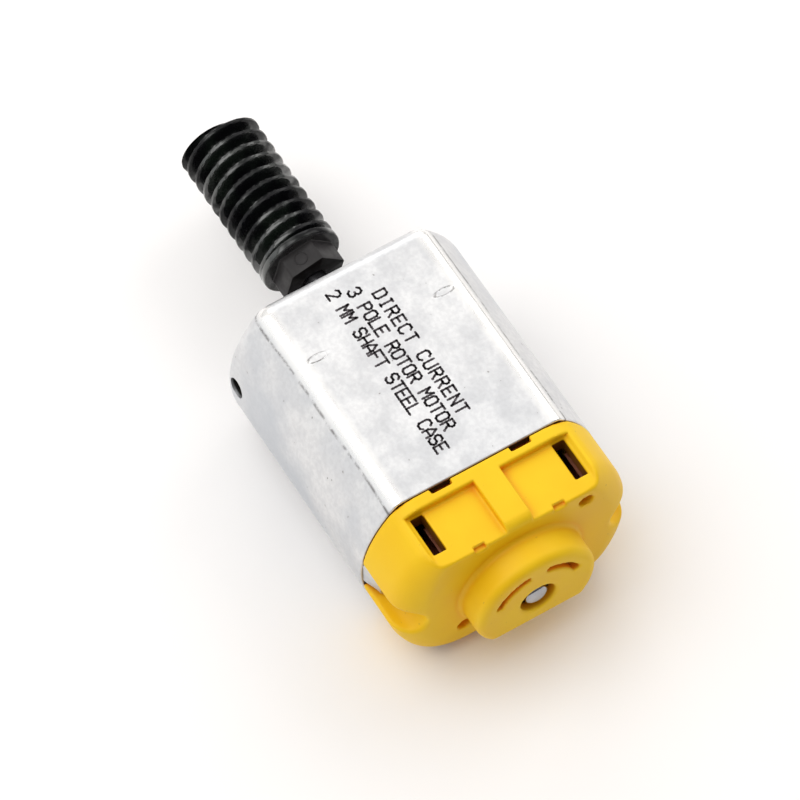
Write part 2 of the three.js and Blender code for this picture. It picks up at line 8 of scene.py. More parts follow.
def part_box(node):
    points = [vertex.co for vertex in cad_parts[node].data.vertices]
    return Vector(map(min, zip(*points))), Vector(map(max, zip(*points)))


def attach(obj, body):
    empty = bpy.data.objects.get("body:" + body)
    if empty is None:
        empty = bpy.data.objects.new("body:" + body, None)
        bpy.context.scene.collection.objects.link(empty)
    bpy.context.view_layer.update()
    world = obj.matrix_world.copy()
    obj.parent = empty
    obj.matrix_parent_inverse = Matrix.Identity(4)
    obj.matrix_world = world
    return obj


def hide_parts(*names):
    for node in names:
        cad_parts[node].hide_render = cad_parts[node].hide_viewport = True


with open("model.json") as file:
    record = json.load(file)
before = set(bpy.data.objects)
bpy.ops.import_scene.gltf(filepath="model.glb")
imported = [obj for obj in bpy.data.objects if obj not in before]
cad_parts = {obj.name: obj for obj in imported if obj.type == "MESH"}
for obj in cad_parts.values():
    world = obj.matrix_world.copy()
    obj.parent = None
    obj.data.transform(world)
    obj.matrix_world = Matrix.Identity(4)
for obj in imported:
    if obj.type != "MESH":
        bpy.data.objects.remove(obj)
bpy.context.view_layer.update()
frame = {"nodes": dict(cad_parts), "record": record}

# ---- Camera, floor and lights ----
# The motor lies on its lower flat on a white table. A long lens looks down on it from behind the end cap.
# Soft lamps overhead, at both sides and beyond the worm light it, under a sky that is brighter at that end.
MM = 0.001
CAMERA_AZIMUTH = 239.6
CAMERA_ELEVATION = 59.589
CAMERA_ROLL = -0.911
CAMERA_DISTANCE = 400 * MM
CAMERA_LENS = 235.3
CENTRE_RIGHT = -5.96 * MM
CENTRE_UP = 8.54 * MM
LAMP_AIM_HEIGHT = 8
LAMPS = (
    ("overhead_lamp", (90, 200, 400), 430, 0.95, (1.0, 0.995, 0.985)),
    ("right_lamp", (110, -370, 320), 330, 0.5, (1.0, 0.99, 0.98)),
    ("far_lamp", (360, -160, 200), 220, 0.24, (1.0, 1.0, 1.0)),
    ("left_lamp", (250, 430, 80), 360, 0.2, (0.93, 0.965, 1.0)),
)
SKY_BRIGHT_SIDE = (0.55, 0.0, 0.83)
SKY_RANGE = (-0.40, 0.95, 0.04, 0.90)
SKY_COLOUR = (1.0, 0.985, 0.975, 1)
FLOOR_HALF = 3000 * MM
FLOOR_COLOUR = (0.965, 0.952, 0.944, 1)
CAN_LENGTH = 20.8
NOSE_LENGTH = 1.7

can_low, can_high = [np.array(corner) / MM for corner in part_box("motor_can")]
AXIS = (can_low[2] + can_high[2]) / 2
FRONT = can_high[0] - NOSE_LENGTH
SEAM = FRONT - CAN_LENGTH


def place_camera():
    """A camera on a sphere about the seam's middle, placed by azimuth and elevation and turned by roll."""
    azimuth, elevation, roll = (math.radians(v) for v in (CAMERA_AZIMUTH, CAMERA_ELEVATION, CAMERA_ROLL))
    back = Vector((math.sin(azimuth) * math.cos(elevation), -math.cos(azimuth) * math.cos(elevation),
                   math.sin(elevation)))
    level = Vector((0, 0, 1)).cross(back).normalized()
    upright = back.cross(level)
    right = level * math.cos(roll) + upright * math.sin(roll)
    up = upright * math.cos(roll) - level * math.sin(roll)
    target = Vector((SEAM, 0, AXIS)) * MM + right * CENTRE_RIGHT + up * CENTRE_UP
    data = bpy.data.cameras.new("camera")
    data.lens = CAMERA_LENS
    data.sensor_width = 36
    data.clip_start = 0.01
    data.clip_end = 10
    camera = bpy.data.objects.new("camera", data)
    turn = Matrix((right, up, back)).transposed().to_4x4()
    camera.matrix_world = Matrix.Translation(target + back * CAMERA_DISTANCE) @ turn
    bpy.context.scene.collection.objects.link(camera)
    bpy.context.scene.camera = camera


def soft_lamp(name, place, size, power, colour):
    """A square area lamp at place, in millimetres, aimed at the motor's middle."""
    data = bpy.data.lights.new(name, "AREA")
    data.size = size * MM
    data.energy = power
    data.color = colour
    lamp = bpy.data.objects.new(name, data)
    lamp.location = Vector(place) * MM
    aim = Vector((0, 0, LAMP_AIM_HEIGHT * MM)) - lamp.location
    lamp.rotation_euler = aim.to_track_quat("-Z", "Y").to_euler()
    bpy.context.scene.collection.objects.link(lamp)


place_camera()
for lamp_settings in LAMPS:
    soft_lamp(*lamp_settings)

world = bpy.data.worlds.new("studio")
world.use_nodes = True
sky = world.node_tree.nodes
direction = sky.new("ShaderNodeTexCoord").outputs["Generated"]
rise = sky.new("ShaderNodeVectorMath")
rise.operation = "DOT_PRODUCT"
rise.inputs[1].default_value = SKY_BRIGHT_SIDE
brightness = sky.new("ShaderNodeMapRange")
for socket, value in zip(brightness.inputs[1:5], SKY_RANGE):
    socket.default_value = value
world.node_tree.links.new(direction, rise.inputs[0])
world.node_tree.links.new(rise.outputs["Value"], brightness.inputs[0])
world.node_tree.links.new(brightness.outputs[0], sky["Background"].inputs["Strength"])
sky["Background"].inputs["Color"].default_value = SKY_COLOUR
bpy.context.scene.world = world
bpy.context.scene.view_settings.view_transform = "Standard"

floor_mesh = bpy.data.meshes.new("table_top")
floor_mesh.from_pydata([(-FLOOR_HALF, -FLOOR_HALF, 0), (FLOOR_HALF, -FLOOR_HALF, 0),
                        (FLOOR_HALF, FLOOR_HALF, 0), (-FLOOR_HALF, FLOOR_HALF, 0)], [], [(0, 1, 2, 3)])
table_top = bpy.data.objects.new("table_top", floor_mesh)
bpy.context.scene.collection.objects.link(table_top)
floor_material = bpy.data.materials.new("table_white")
floor_material.use_nodes = True
floor_shader = floor_material.node_tree.nodes["Principled BSDF"]
floor_shader.inputs["Base Color"].default_value = FLOOR_COLOUR
floor_shader.inputs["Roughness"].default_value = 0.7
floor_shader.inputs["Specular IOR Level"].default_value = 0.2
floor_mesh.materials.append(floor_material)

# ---- Motor can ----
# A cup of zinc-plated steel, deep drawn in one piece with the nose for the front bush. Its section is round
# with two flats. Two holes are punched in its sides and two in its front, two tabs of its rim are bent over
# the end cap, and oval dents on the flats stop the magnets.
CAN_RADIUS = 10.49
CAN_HALF = 7.69
CAN_WALL = 0.9
CAN_END_ROUND = 1.5
CAN_BEND = 0.34
NOSE_RADIUS = 3.04
NOSE_FILLET = 0.45
NOSE_BORE = 2.13
NOSE_EDGE = 0.25
RIM_ROUND = 0.12
SIDE_HOLE_RADIUS = 0.9
SIDE_HOLE_BACK = 2.1
SIDE_HOLE_RISE = 0.8
FIXING_HOLE_RADIUS = 0.9
FIXING_HOLE_SIDE = 6.0
TAB_WIDTH = 2.4
TAB_LENGTH = 1.7
TAB_THICKNESS = 0.6
TAB_SINK = 0.6
TAB_ROOT = 0.5
TAB_INSET = 0.16
TAB_EDGE = 0.14
STOP_SIDE = 5.65
STOP_PLACE = 14.17
STOP_HALF_LENGTH = 0.38
STOP_HALF_WIDTH = 1.05
STOP_RING = 0.8
PUNCH_FROM = 8
PUNCH_TO = 12


def grid_faces(rows, columns, close_rows=False):
    """Four-sided faces between neighbours in a grid whose columns, and rows if asked, join round."""
    i = np.arange(rows if close_rows else rows - 1)[:, None]
    j = np.arange(columns)[None, :]
    i1, j1 = (i + 1) % rows, (j + 1) % columns
    corners = [i * columns + j, i * columns + j1, i1 * columns + j1, i1 * columns + j]
    return np.stack([np.broadcast_to(c, (i.size, j.size)) for c in corners], -1).reshape(-1, 4)


def tube_surface(points):
    """A grid closed both ways round: the last row meets the first, and so do the columns."""
    rows, columns = points.shape[:2]
    return points.reshape(-1, 3), [grid_faces(rows, columns, close_rows=True)]


def capped_surface(points):
    """A grid closed round its columns, with a fan of triangles to the middle of its first and last rows."""
    rows, columns = points.shape[:2]
    flat = points.reshape(-1, 3)
    ends = np.stack([points[0].mean(0), points[-1].mean(0)])
    j = np.arange(columns)
    j1 = (j + 1) % columns
    first = np.stack([j1, j, np.full(columns, len(flat))], -1)
    end = (rows - 1) * columns
    last = np.stack([j + end, j1 + end, np.full(columns, len(flat) + 1)], -1)
    return np.vstack([flat, ends]), [grid_faces(rows, columns), first, last]


def signed_volume(points, face_sets):
    """Volume inside the faces, positive when they point outwards: a sixth of the sum of corner products."""
    total = 0.0
    for faces in face_sets:
        for k in range(1, faces.shape[1] - 1):
            a, b, c = points[faces[:, 0]], points[faces[:, k]], points[faces[:, k + 1]]
            total += np.einsum("ij,ij->i", a, np.cross(b, c)).sum() / 6
    return total


def make_piece(name, surfaces, material, body, sharp=40):
    """Joins closed surfaces, each given about the shaft axis in millimetres, into one piece on a body."""
    points, faces, count = [], [], 0
    for surface_points, face_sets in surfaces:
        turn = -1 if signed_volume(surface_points, face_sets) < 0 else 1
        points.append(surface_points)
        for face_set in face_sets:
            faces.extend((face_set[:, ::turn] + count).tolist())
        count += len(surface_points)
    place = (np.vstack(points) + [0, 0, AXIS]) * MM
    mesh = bpy.data.meshes.new(name)
    mesh.from_pydata(place.tolist(), [], faces)
    finish_mesh(mesh, material, sharp)
    piece = bpy.data.objects.new(name, mesh)
    bpy.context.scene.collection.objects.link(piece)
    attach(piece, body)
    return piece


def finish_mesh(mesh, material, sharp):
    """Smooth shading with sharp edges where faces meet at more than sharp degrees, and one material."""
    mesh.update()
    mesh.validate()
    mesh.polygons.foreach_set("use_smooth", np.ones(len(mesh.polygons), bool))
    mesh.set_sharp_from_angle(angle=math.radians(sharp))
    mesh.materials.clear()
    mesh.materials.append(material)


def new_material(name, metallic=0.0, roughness=0.5):
    """A material, its shader, the place on the piece, and functions that add a node and fill a socket."""
    material = bpy.data.materials.new(name)
    material.use_nodes = True
    tree = material.node_tree
    shader = tree.nodes["Principled BSDF"]
    shader.inputs["Metallic"].default_value = metallic
    shader.inputs["Roughness"].default_value = roughness
    place = tree.nodes.new("ShaderNodeTexCoord").outputs["Object"]

    def node(kind, settings=None, **sockets):
        made = tree.nodes.new(kind)
        for key, value in (settings or {}).items():
            setattr(made, key, value)
        for key, value in sockets.items():
            by_number = key[0] == "i" and key[1:].isdigit()
            put(made.inputs[int(key[1:]) if by_number else key.replace("_", " ")], value)
        return made

    def put(socket, value):
        if isinstance(value, bpy.types.NodeSocket):
            tree.links.new(value, socket)
        elif isinstance(value, tuple) and len(value) == 3 and socket.type == "RGBA":
            socket.default_value = (*value, 1)
        else:
            socket.default_value = value

    return material, shader, place, node, put


def sums(node):
    """Short forms of the math nodes: each takes sockets or numbers and returns the result's socket."""
    def calc(operation):
        return lambda *values: node("ShaderNodeMath", {"operation": operation},
                                    **{f"i{i}": v for i, v in enumerate(values)}).outputs[0]
    return {name.lower(): calc(name) for name in
            ("ADD", "SUBTRACT", "MULTIPLY", "ABSOLUTE", "MINIMUM", "SQRT")}


def noise(node, place, scale, detail=3.0, roughness=0.5):
    """A noise pattern's value, with scale in patches to the metre."""
    return node("ShaderNodeTexNoise", Vector=place, Scale=scale, Detail=detail,
                Roughness=roughness).outputs["Fac"]


def band(node, value, low, high, out_low=0.0, out_high=1.0):
    """Carries value from low..high to out_low..out_high, and holds it there beyond."""
    made = node("ShaderNodeMapRange", {"interpolation_type": "SMOOTHSTEP"}, i0=value, i1=low, i2=high,
                i3=out_low, i4=out_high)
    return made.outputs[0]


def blend(node, amount, first, second):
    """Mixes two colours by amount."""
    made = node("ShaderNodeMix", {"data_type": "RGBA"})
    tree = made.id_data
    for socket, value in ((made.inputs[0], amount), (made.inputs[6], first), (made.inputs[7], second)):
        if isinstance(value, bpy.types.NodeSocket):
            tree.links.new(value, socket)
        else:
            socket.default_value = (*value, 1) if isinstance(value, tuple) else value
    return made.outputs[2]


def hypotenuse(math_of, a, b):
    """The square root of the sum of two squares."""
    return math_of["sqrt"](math_of["add"](math_of["multiply"](a, a), math_of["multiply"](b, b)))


def section_radius(inset, angle):
    """Radius of the can's section at each angle: the smaller of the round's radius and the flat's distance
    over the sine, eased into each other by a parabola where they cross."""
    round_part = CAN_RADIUS - inset
    flat_part = (CAN_HALF - inset) / np.maximum(np.abs(np.sin(angle)), 1e-6)
    overlap = np.clip(1 - np.abs(round_part - flat_part) / CAN_BEND, 0, 1)
    return np.minimum(round_part, flat_part) - CAN_BEND * overlap ** 2 / 4


def section_angles():
    """Angles round the section, close together at the four bends and wider between them."""
    bend = math.asin(CAN_HALF / CAN_RADIUS)
    spread = 0.075
    quarter = np.concatenate([np.linspace(0, bend - spread, 18, endpoint=False),
                              np.linspace(bend - spread, bend + spread, 16, endpoint=False),
                              np.linspace(bend + spread, math.pi / 2, 18, endpoint=False)])
    half = np.concatenate([quarter, math.pi - quarter[::-1]])
    return np.unique(np.round(np.concatenate([half, half + math.pi]) % (2 * math.pi), 9))


def can_surface():
    """Rows [x, inset, radius, roundness] from the rim along the outside, over the front's rounded edge, up
    the nose, back through its bore and along the inside to the rim. Each row is the section at its inset,
    mixed with a circle of its radius by its roundness."""
    quarter = np.linspace(0, math.pi / 2, 9)
    sine, cosine = np.sin(quarter), 1 - np.cos(quarter)
    inner_round = CAN_END_ROUND - CAN_WALL
    face = np.linspace(0.12, 1, 8)
    wide = NOSE_RADIUS + NOSE_FILLET
    nose_end = FRONT + NOSE_LENGTH

    def rows(*values):
        return np.stack(np.broadcast_arrays(*(np.asarray(v, float) for v in values)), -1)

    outside = rows(np.linspace(SEAM + RIM_ROUND, FRONT - CAN_END_ROUND, 30), 0, 0, 0)
    path = np.concatenate([
        rows(SEAM + RIM_ROUND * cosine, RIM_ROUND * (1 - sine), 0, 0),
        outside[1:],
        rows(FRONT - CAN_END_ROUND + CAN_END_ROUND * sine[1:], CAN_END_ROUND * cosine[1:], 0, 0),
        rows(FRONT, CAN_END_ROUND, wide, face),
        rows(FRONT + NOSE_FILLET * cosine[1:], 0, wide - NOSE_FILLET * sine[1:], 1),
        rows(nose_end - NOSE_EDGE * (1 - sine), 0, NOSE_RADIUS - NOSE_EDGE * cosine, 1),
        rows([nose_end, nose_end - 0.1, FRONT - CAN_WALL], 0, [NOSE_BORE + 0.1, NOSE_BORE, NOSE_BORE], 1),
        rows(FRONT - CAN_WALL, CAN_END_ROUND, NOSE_BORE, face[::-1]),
        rows(FRONT - CAN_END_ROUND + inner_round * sine[::-1], CAN_WALL + inner_round * cosine[::-1], 0, 0),
        rows(np.linspace(FRONT - CAN_END_ROUND, SEAM, 24)[1:], CAN_WALL, 0, 0),
    ])
    angle = section_angles()[None, :]
    x, inset, radius, roundness = (path[:, k:k + 1] for k in range(4))
    reach = (1 - roundness) * section_radius(inset, angle) + roundness * radius
    points = np.stack([x + 0 * angle, reach * np.cos(angle), reach * np.sin(angle)], -1)
    return tube_surface(points)


def punch(name, radius, start, end):
    """A round punch from start to end, given about the shaft axis, to cut a hole with."""
    start, end = np.array(start, float), np.array(end, float)
    along = (end - start) / np.linalg.norm(end - start)
    side = np.cross(along, [0.3, 0.5, 0.8])
    side /= np.linalg.norm(side)
    other = np.cross(along, side)
    angle = np.linspace(0, 2 * math.pi, 48, endpoint=False)[:, None]
    ring = radius * (np.cos(angle) * side + np.sin(angle) * other)
    points = np.stack([start + ring, end + ring])
    return make_piece(name, [capped_surface(points)], zinc, "stator")


def cut(piece, punches):
    """Cuts the punches out of the piece's mesh and throws them away."""
    for tool in punches:
        modifier = piece.modifiers.new("hole", "BOOLEAN")
        modifier.operation = "DIFFERENCE"
        modifier.solver = "EXACT"
        modifier.object = tool
    graph = bpy.context.evaluated_depsgraph_get()
    mesh = bpy.data.meshes.new_from_object(piece.evaluated_get(graph))
    piece.modifiers.clear()
    piece.data = mesh
    for tool in punches:
        bpy.data.objects.remove(tool)


def bent_strip(path, across, width, thickness, edge):
    """A flat strip carried along a path of [x, y, z] points: its section is a rectangle with rounded
    corners, width wide along across, and thickness thick square to the path."""
    path = np.asarray(path, float)
    across = np.asarray(across, float)
    direction = np.gradient(path, axis=0)
    direction /= np.linalg.norm(direction, axis=1, keepdims=True)
    normal = np.cross(direction, across)
    turn = np.linspace(0, 2 * math.pi, 24, endpoint=False) + math.pi / 24
    flat_side = np.sign(np.cos(turn)) * (width / 2 - edge) + edge * np.cos(turn)
    flat_up = np.sign(np.sin(turn)) * (thickness / 2 - edge) + edge * np.sin(turn)
    points = path[:, None] + flat_side[None, :, None] * across + flat_up[None, :, None] * normal[:, None]
    return capped_surface(points)


def tab_surface(side):
    """A tab of the rim: it leaves the can level, and bends inwards in a smooth S to lie on the end cap."""
    t = np.linspace(0, 1, 14)
    fall = t * t * (3 - 2 * t)
    x = SEAM + TAB_ROOT - (TAB_LENGTH + TAB_ROOT) * t
    root = CAN_RADIUS - TAB_INSET - TAB_THICKNESS / 2
    path = np.stack([x, side * (root - TAB_SINK * fall), 0 * t], -1)
    return bent_strip(path, (0, 0, 1), TAB_WIDTH, TAB_THICKNESS, TAB_EDGE)


zinc, shader, place, node, put = new_material("zinc_plated_steel", metallic=0.82, roughness=0.4)
math_of = sums(node)
add, subtract, multiply, absolute = (math_of[name] for name in ("add", "subtract", "multiply", "absolute"))
along, across, height = node("ShaderNodeSeparateXYZ", Vector=place).outputs
crease_side = math.cos(math.asin(CAN_HALF / CAN_RADIUS)) * CAN_RADIUS
from_axis = subtract(height, AXIS * MM)
from_side = subtract(absolute(across), crease_side * MM)
from_flat = subtract(absolute(from_axis), CAN_HALF * MM)
from_crease = hypotenuse(math_of, from_side, from_flat)

# The plating has pale crystals, a fine grey grain, dark specks, and clouds on the round sides.
mottle = noise(node, place, 420, 5, 0.6)
cloud = noise(node, place, 95, 3, 0.5)
grain = noise(node, place, 2600, 2, 0.5)
can_colour = blend(node, band(node, mottle, 0.36, 0.66), (0.68, 0.685, 0.695), (0.79, 0.79, 0.79))
can_colour = blend(node, multiply(band(node, grain, 0.35, 0.65), 0.22), can_colour, (0.50, 0.50, 0.51))
specks = band(node, noise(node, place, 2600, 1, 0.4), 0.77, 0.80)
can_colour = blend(node, multiply(specks, 0.6), can_colour, (0.2, 0.18, 0.16))
clouds = multiply(band(node, cloud, 0.40, 0.62), band(node, from_flat, -0.0025, -0.0006, 0.7, 0.12))
can_colour = blend(node, clouds, can_colour, (0.50, 0.53, 0.57))

# Bends get a painted highlight and are smoother; a thin broken line of grime lies just below them.
painted_bend_highlight = band(node, from_crease, 0.0003, 0.0011, 1.0, 0.0)
can_colour = blend(node, painted_bend_highlight, can_colour, (0.94, 0.93, 0.91))
off_line = absolute(subtract(from_crease, band(node, cloud, 0.3, 0.7, 0.00085, 0.00125)))
grime = multiply(subtract(1.0, band(node, off_line, 0.00001, 0.0002)),
                 band(node, from_flat, -0.0008, -0.0003, 1.0, 0.0))
grime = multiply(grime, band(node, noise(node, place, 700, 8, 0.8), 0.42, 0.56))
can_colour = blend(node, multiply(grime, 0.8), can_colour, (0.09, 0.08, 0.075))

# Each magnet stop is an oval ring, pressed in a little and scuffed.
oval_along = multiply(subtract(along, (SEAM + STOP_PLACE) * MM), 1 / (STOP_HALF_LENGTH * MM))
oval_across = multiply(subtract(absolute(across), STOP_SIDE * MM), 1 / (STOP_HALF_WIDTH * MM))
off_ring = absolute(subtract(hypotenuse(math_of, oval_along, oval_across), STOP_RING))
stops = multiply(subtract(1.0, band(node, off_ring, 0.02, 0.22)), band(node, from_flat, -0.00006, -0.00002))
scuffs = multiply(stops, band(node, noise(node, place, 1500, 4, 0.7), 0.42, 0.58))
can_colour = blend(node, multiply(scuffs, 0.75), can_colour, (0.16, 0.15, 0.14))

# The rim's face, the edges of the holes and the inside get painted shade, near black, and so do close
# corners.
depth = math_of["minimum"](multiply(from_flat, -1.0),
                           subtract(CAN_RADIUS * MM, hypotenuse(math_of, across, from_axis)))
painted_inner_shade = multiply(band(node, depth, 0.00012, 0.00030),
                band(node, along, (FRONT - 1.2) * MM, (FRONT - 1.0) * MM, 1.0, 0.0))
painted_inner_shade = multiply(painted_inner_shade, band(node, along, (SEAM - 0.06) * MM, (SEAM - 0.02) * MM))
can_colour = blend(node, painted_inner_shade, can_colour, (0.03, 0.028, 0.026))
# Painted shade: darker where nearby surfaces close in.
openness = node("ShaderNodeAmbientOcclusion", {"samples": 8}, Distance=1.2 * MM).outputs["AO"]
can_colour = blend(node, band(node, openness, 0.12, 0.6), (0.05, 0.045, 0.04), can_colour)
put(shader.inputs["Base Color"], can_colour)
put(shader.inputs["Roughness"], subtract(band(node, mottle, 0.3, 0.7, 0.34, 0.46), multiply(painted_bend_highlight, 0.14)))
relief = subtract(add(multiply(grain, 0.12), multiply(mottle, 0.3)), stops)
bump = node("ShaderNodeBump", Height=relief, Strength=0.5, Distance=0.00008)
put(shader.inputs["Normal"], bump.outputs["Normal"])

can = make_piece("motor_can_shell", [can_surface()], zinc, "stator", sharp=30)
hole_x = FRONT - SIDE_HOLE_BACK
punches = [punch(f"side_punch_{i}", SIDE_HOLE_RADIUS, (hole_x, side * PUNCH_FROM, SIDE_HOLE_RISE),
                 (hole_x, side * PUNCH_TO, SIDE_HOLE_RISE)) for i, side in enumerate((1, -1))]
punches += [punch(f"front_punch_{i}", FIXING_HOLE_RADIUS, (FRONT - 2, side * FIXING_HOLE_SIDE, 0),
                  (FRONT + 1, side * FIXING_HOLE_SIDE, 0)) for i, side in enumerate((1, -1))]
cut(can, punches)
finish_mesh(can.data, zinc, 30)
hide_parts("motor_can")
tabs = make_piece("can_crimp_tabs", [tab_surface(1), tab_surface(-1)], zinc, "stator", sharp=50)

# ---- Print on the can ----
# Three lines of plain words in black ink, which a dot printer sets on the upper flat. Every dot is a thin
# round film of ink. A line's values are its words, its start along the shaft, its place across, and its
# pitch.
PRINT_HEIGHT = 1.02
PRINT_WIDTH = 0.86
DOTS_A_STEP = 1.5
PRINT_LINES = (("DIRECT CURRENT", 6.45, -1.35, 0.92), ("3 POLE ROTOR MOTOR", 7.6, 0.25, 0.81),
               ("2 MM SHAFT STEEL CASE", 8.2, 1.75, 0.79))
PRINT_DOT = 0.118
PRINT_THICKNESS = 0.006

ink, shader, place, node, put = new_material("printer_ink", roughness=0.6)
put(shader.inputs["Base Color"], blend(node, band(node, noise(node, place, 2400, 3, 0.6), 0.4, 0.75),
                                       (0.05, 0.04, 0.046), (0.20, 0.18, 0.19)))


def stroke_letters():
    """Each letter as pen strokes between points on a field 4 wide and 6 high."""
    return {
        "A": [[(0, 0), (0, 3), (2, 6), (4, 3), (4, 0)], [(0, 2), (4, 2)]],
        "C": [[(4, 5), (3, 6), (1, 6), (0, 5), (0, 1), (1, 0), (3, 0), (4, 1)]],
        "D": [[(0, 0), (0, 6), (3, 6), (4, 5), (4, 1), (3, 0), (0, 0)]],
        "E": [[(4, 6), (0, 6), (0, 0), (4, 0)], [(0, 3), (3, 3)]],
        "F": [[(4, 6), (0, 6), (0, 0)], [(0, 3), (3, 3)]],
        "H": [[(0, 0), (0, 6)], [(4, 0), (4, 6)], [(0, 3), (4, 3)]],
        "I": [[(1, 0), (3, 0)], [(2, 0), (2, 6)], [(1, 6), (3, 6)]],
        "L": [[(0, 6), (0, 0), (4, 0)]],
        "M": [[(0, 0), (0, 6), (2, 3), (4, 6), (4, 0)]],
        "N": [[(0, 0), (0, 6), (4, 0), (4, 6)]],
        "O": [[(1, 0), (0, 1), (0, 5), (1, 6), (3, 6), (4, 5), (4, 1), (3, 0), (1, 0)]],
        "P": [[(0, 0), (0, 6), (3, 6), (4, 5), (4, 4), (3, 3), (0, 3)]],
        "R": [[(0, 0), (0, 6), (3, 6), (4, 5), (4, 4), (3, 3), (0, 3)], [(2, 3), (4, 0)]],
        "S": [[(4, 5), (3, 6), (1, 6), (0, 5), (0, 4), (1, 3), (3, 3), (4, 2), (4, 1), (3, 0), (1, 0),
               (0, 1)]],
        "T": [[(2, 0), (2, 6)], [(0, 6), (4, 6)]],
        "U": [[(0, 6), (0, 1), (1, 0), (3, 0), (4, 1), (4, 6)]],
        "2": [[(0, 5), (1, 6), (3, 6), (4, 5), (4, 4), (0, 0), (4, 0)]],
        "3": [[(0, 5), (1, 6), (3, 6), (4, 5), (4, 4), (3, 3), (4, 2), (4, 1), (3, 0), (1, 0), (0, 1)],
              [(2, 3), (3, 3)]],
    }


def print_dots():
    """Places of the ink dots: points at equal steps along every stroke of every letter, line by line."""
    letters = stroke_letters()
    unit = PRINT_HEIGHT / 6
    dots = []
    for words, start, side, pitch in PRINT_LINES:
        for index, letter in enumerate(words):
            for stroke in letters.get(letter, []):
                for (x0, y0), (x1, y1) in zip(stroke, stroke[1:]):
                    steps = max(int(math.hypot(x1 - x0, y1 - y0) * DOTS_A_STEP), 1)
                    t = np.linspace(0, 1, steps + 1)
                    along_line = (x0 + (x1 - x0) * t) * unit * PRINT_WIDTH + index * pitch
                    above_line = (y0 + (y1 - y0) * t) * unit
                    dots.append(np.stack([start - along_line, side - above_line + PRINT_HEIGHT / 2], -1))
    return np.vstack(dots)


def dot_surface(centres, radius, sides=8):
    """Every dot is one flat eight-sided disc with a shallow edge, set on the can's upper flat."""
    angle = np.linspace(0, 2 * math.pi, sides, endpoint=False)
    ring = np.stack([np.cos(angle), np.sin(angle)], -1) * radius
    wobble = 1 + 0.18 * np.sin(np.arange(len(centres)) * 2.4)[:, None, None]
    rim = centres[:, None] + ring[None] * wobble
    count = len(centres)
    low = np.concatenate([rim, np.full((count, sides, 1), CAN_HALF - 0.01)], -1)
    high = np.concatenate([centres[:, None] + ring[None] * wobble * 0.85,
                           np.full((count, sides, 1), CAN_HALF + PRINT_THICKNESS)], -1)
    points = np.concatenate([low, high], 1).reshape(-1, 3)
    base = (np.arange(count) * 2 * sides)[:, None]
    j = np.arange(sides)
    j1 = (j + 1) % sides
    walls = np.stack([j, j1, j1 + sides, j + sides], -1)[None] + base[:, :, None]
    top = (j + sides)[None] + base
    bottom = j[::-1][None] + base
    return points, [walls.reshape(-1, 4), top, bottom]


make_piece("can_print", [dot_surface(print_dots(), PRINT_DOT)], ink, "stator")

# ---- End cap ----
# Moulded in one piece from yellow plastic. Its skirt plugs the can, and the boss on its end face holds the
# rear bush. Two shallow pockets beside a rib lead to the slots of the terminals, a groove lies in each side
# under a tab of the can, and two arc slots and two pin marks are left by the mould.
CAP_LENGTH = 6.1
CAP_BEND = 0.9
CAP_LOWER_BEND = 2.8
CAP_ROUND = 2.4
CAP_ROUND_FLAT = 0.8
BOSS_LENGTH = 2.7
BOSS_RADIUS = 5.29
BOSS_FLAT = 3.39
BOSS_HOLE = 1.55
BUSH_SEAT = 2.12
HOLE_EDGE = 0.12
SKIRT_LENGTH = 2.8
SKIRT_WALL = 0.9
SKIRT_INSET = 1.0
POCKET_RIB = 1.15
POCKET_BAND = 1.15
POCKET_DEPTH = 0.8
POCKET_OUTER = 6.95
SLOT_INNER = 5.7
SLOT_OUTER = 6.8
SLOT_NEAR = 1.2
SLOT_FAR = 4.75
NOTCH_INNER = 2.6
NOTCH_OUTER = 4.4
NOTCH_DEPTH = 0.55
NOTCH_SINK = 1.6
GROOVE_RADIUS = 1.5
GROOVE_INNER = 8.2
PIN_MARKS = ((-5.8, 5.5), (4.9, -3.7))
PIN_RADIUS = 0.63
PIN_DEPTH = 1.1
ARC_MIDDLE = 3.72
ARC_HALF_WIDTH = 0.3
ARC_DEPTH = 0.8
ARC_SPANS = ((20, 79), (101, 158))
LIP_INNER = 3.0
LIP_OUTER = 4.0
LIP_LENGTH = 0.42
LIP_SINK = 1.25
CAVITY_SIDE = 7.2
CAVITY_HEIGHT = 5.2
CAP_STEP = 0.15

CAP_END = SEAM - CAP_LENGTH
BOSS_END = CAP_END - BOSS_LENGTH


def round_max(a, b, radius):
    """The larger of two distances, with an outer edge of the given radius where both are near zero."""
    return (np.minimum(np.maximum(a, b), -radius)
            + np.hypot(np.maximum(a + radius, 0), np.maximum(b + radius, 0)))


def round_min(a, b, radius):
    """The smaller of two distances, with a fillet of the given radius in the corner."""
    return -round_max(-a, -b, radius)


def slab(value, low, high):
    """Distance to the space between two planes: negative between them."""
    return np.maximum(low - value, value - high)


def flat_round(y, z, radius, half, bend):
    """Distance to the can's section: a round of the radius cut by two flats, its corners rounded."""
    return round_max(np.hypot(y, z) - radius, np.abs(z) - half, bend)


